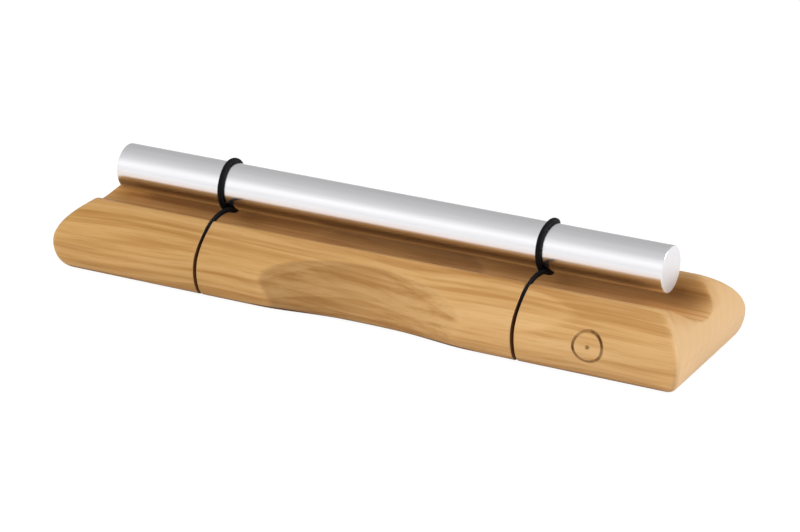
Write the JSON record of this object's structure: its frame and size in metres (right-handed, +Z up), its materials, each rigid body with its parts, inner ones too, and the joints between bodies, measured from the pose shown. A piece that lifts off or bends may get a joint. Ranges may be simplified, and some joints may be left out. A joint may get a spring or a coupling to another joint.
{
  "type": "energy chime",
  "caption": "Tuned round bar hung in elastic cord rings over a rounded wooden hand base with a trough and finger scoops; it rings when struck.",
  "frame": {"origin": "centre of the base's flat bottom face", "axes": "+X along the bar, +Y to the back, +Z up"},
  "size_m": [0.1962, 0.0476, 0.0344],
  "materials": {
    "wood": "satin",
    "bar": "satin",
    "cord": "matte"
  },
  "bodies": {
    "base": {"wooden_base": "wood"},
    "suspension": {"left_cord": "cord", "right_cord": "cord"},
    "rod": {"chime_rod": "bar"}
  },
  "joints": [
    {"name": "rod_bounce", "type": "slide", "parent": "base", "child": "suspension", "axis": [0, 0, 1], "range_m": [-0.002, 0.004], "stiffness_N_per_m": 1500, "springref_m": 0.00043, "deforming": ["left_cord", "right_cord"]},
    {"name": "rod_shift", "type": "slide", "parent": "suspension", "child": "rod", "axis": [1, 0, 0], "range_m": [-0.025, 0.025]}
  ]
}
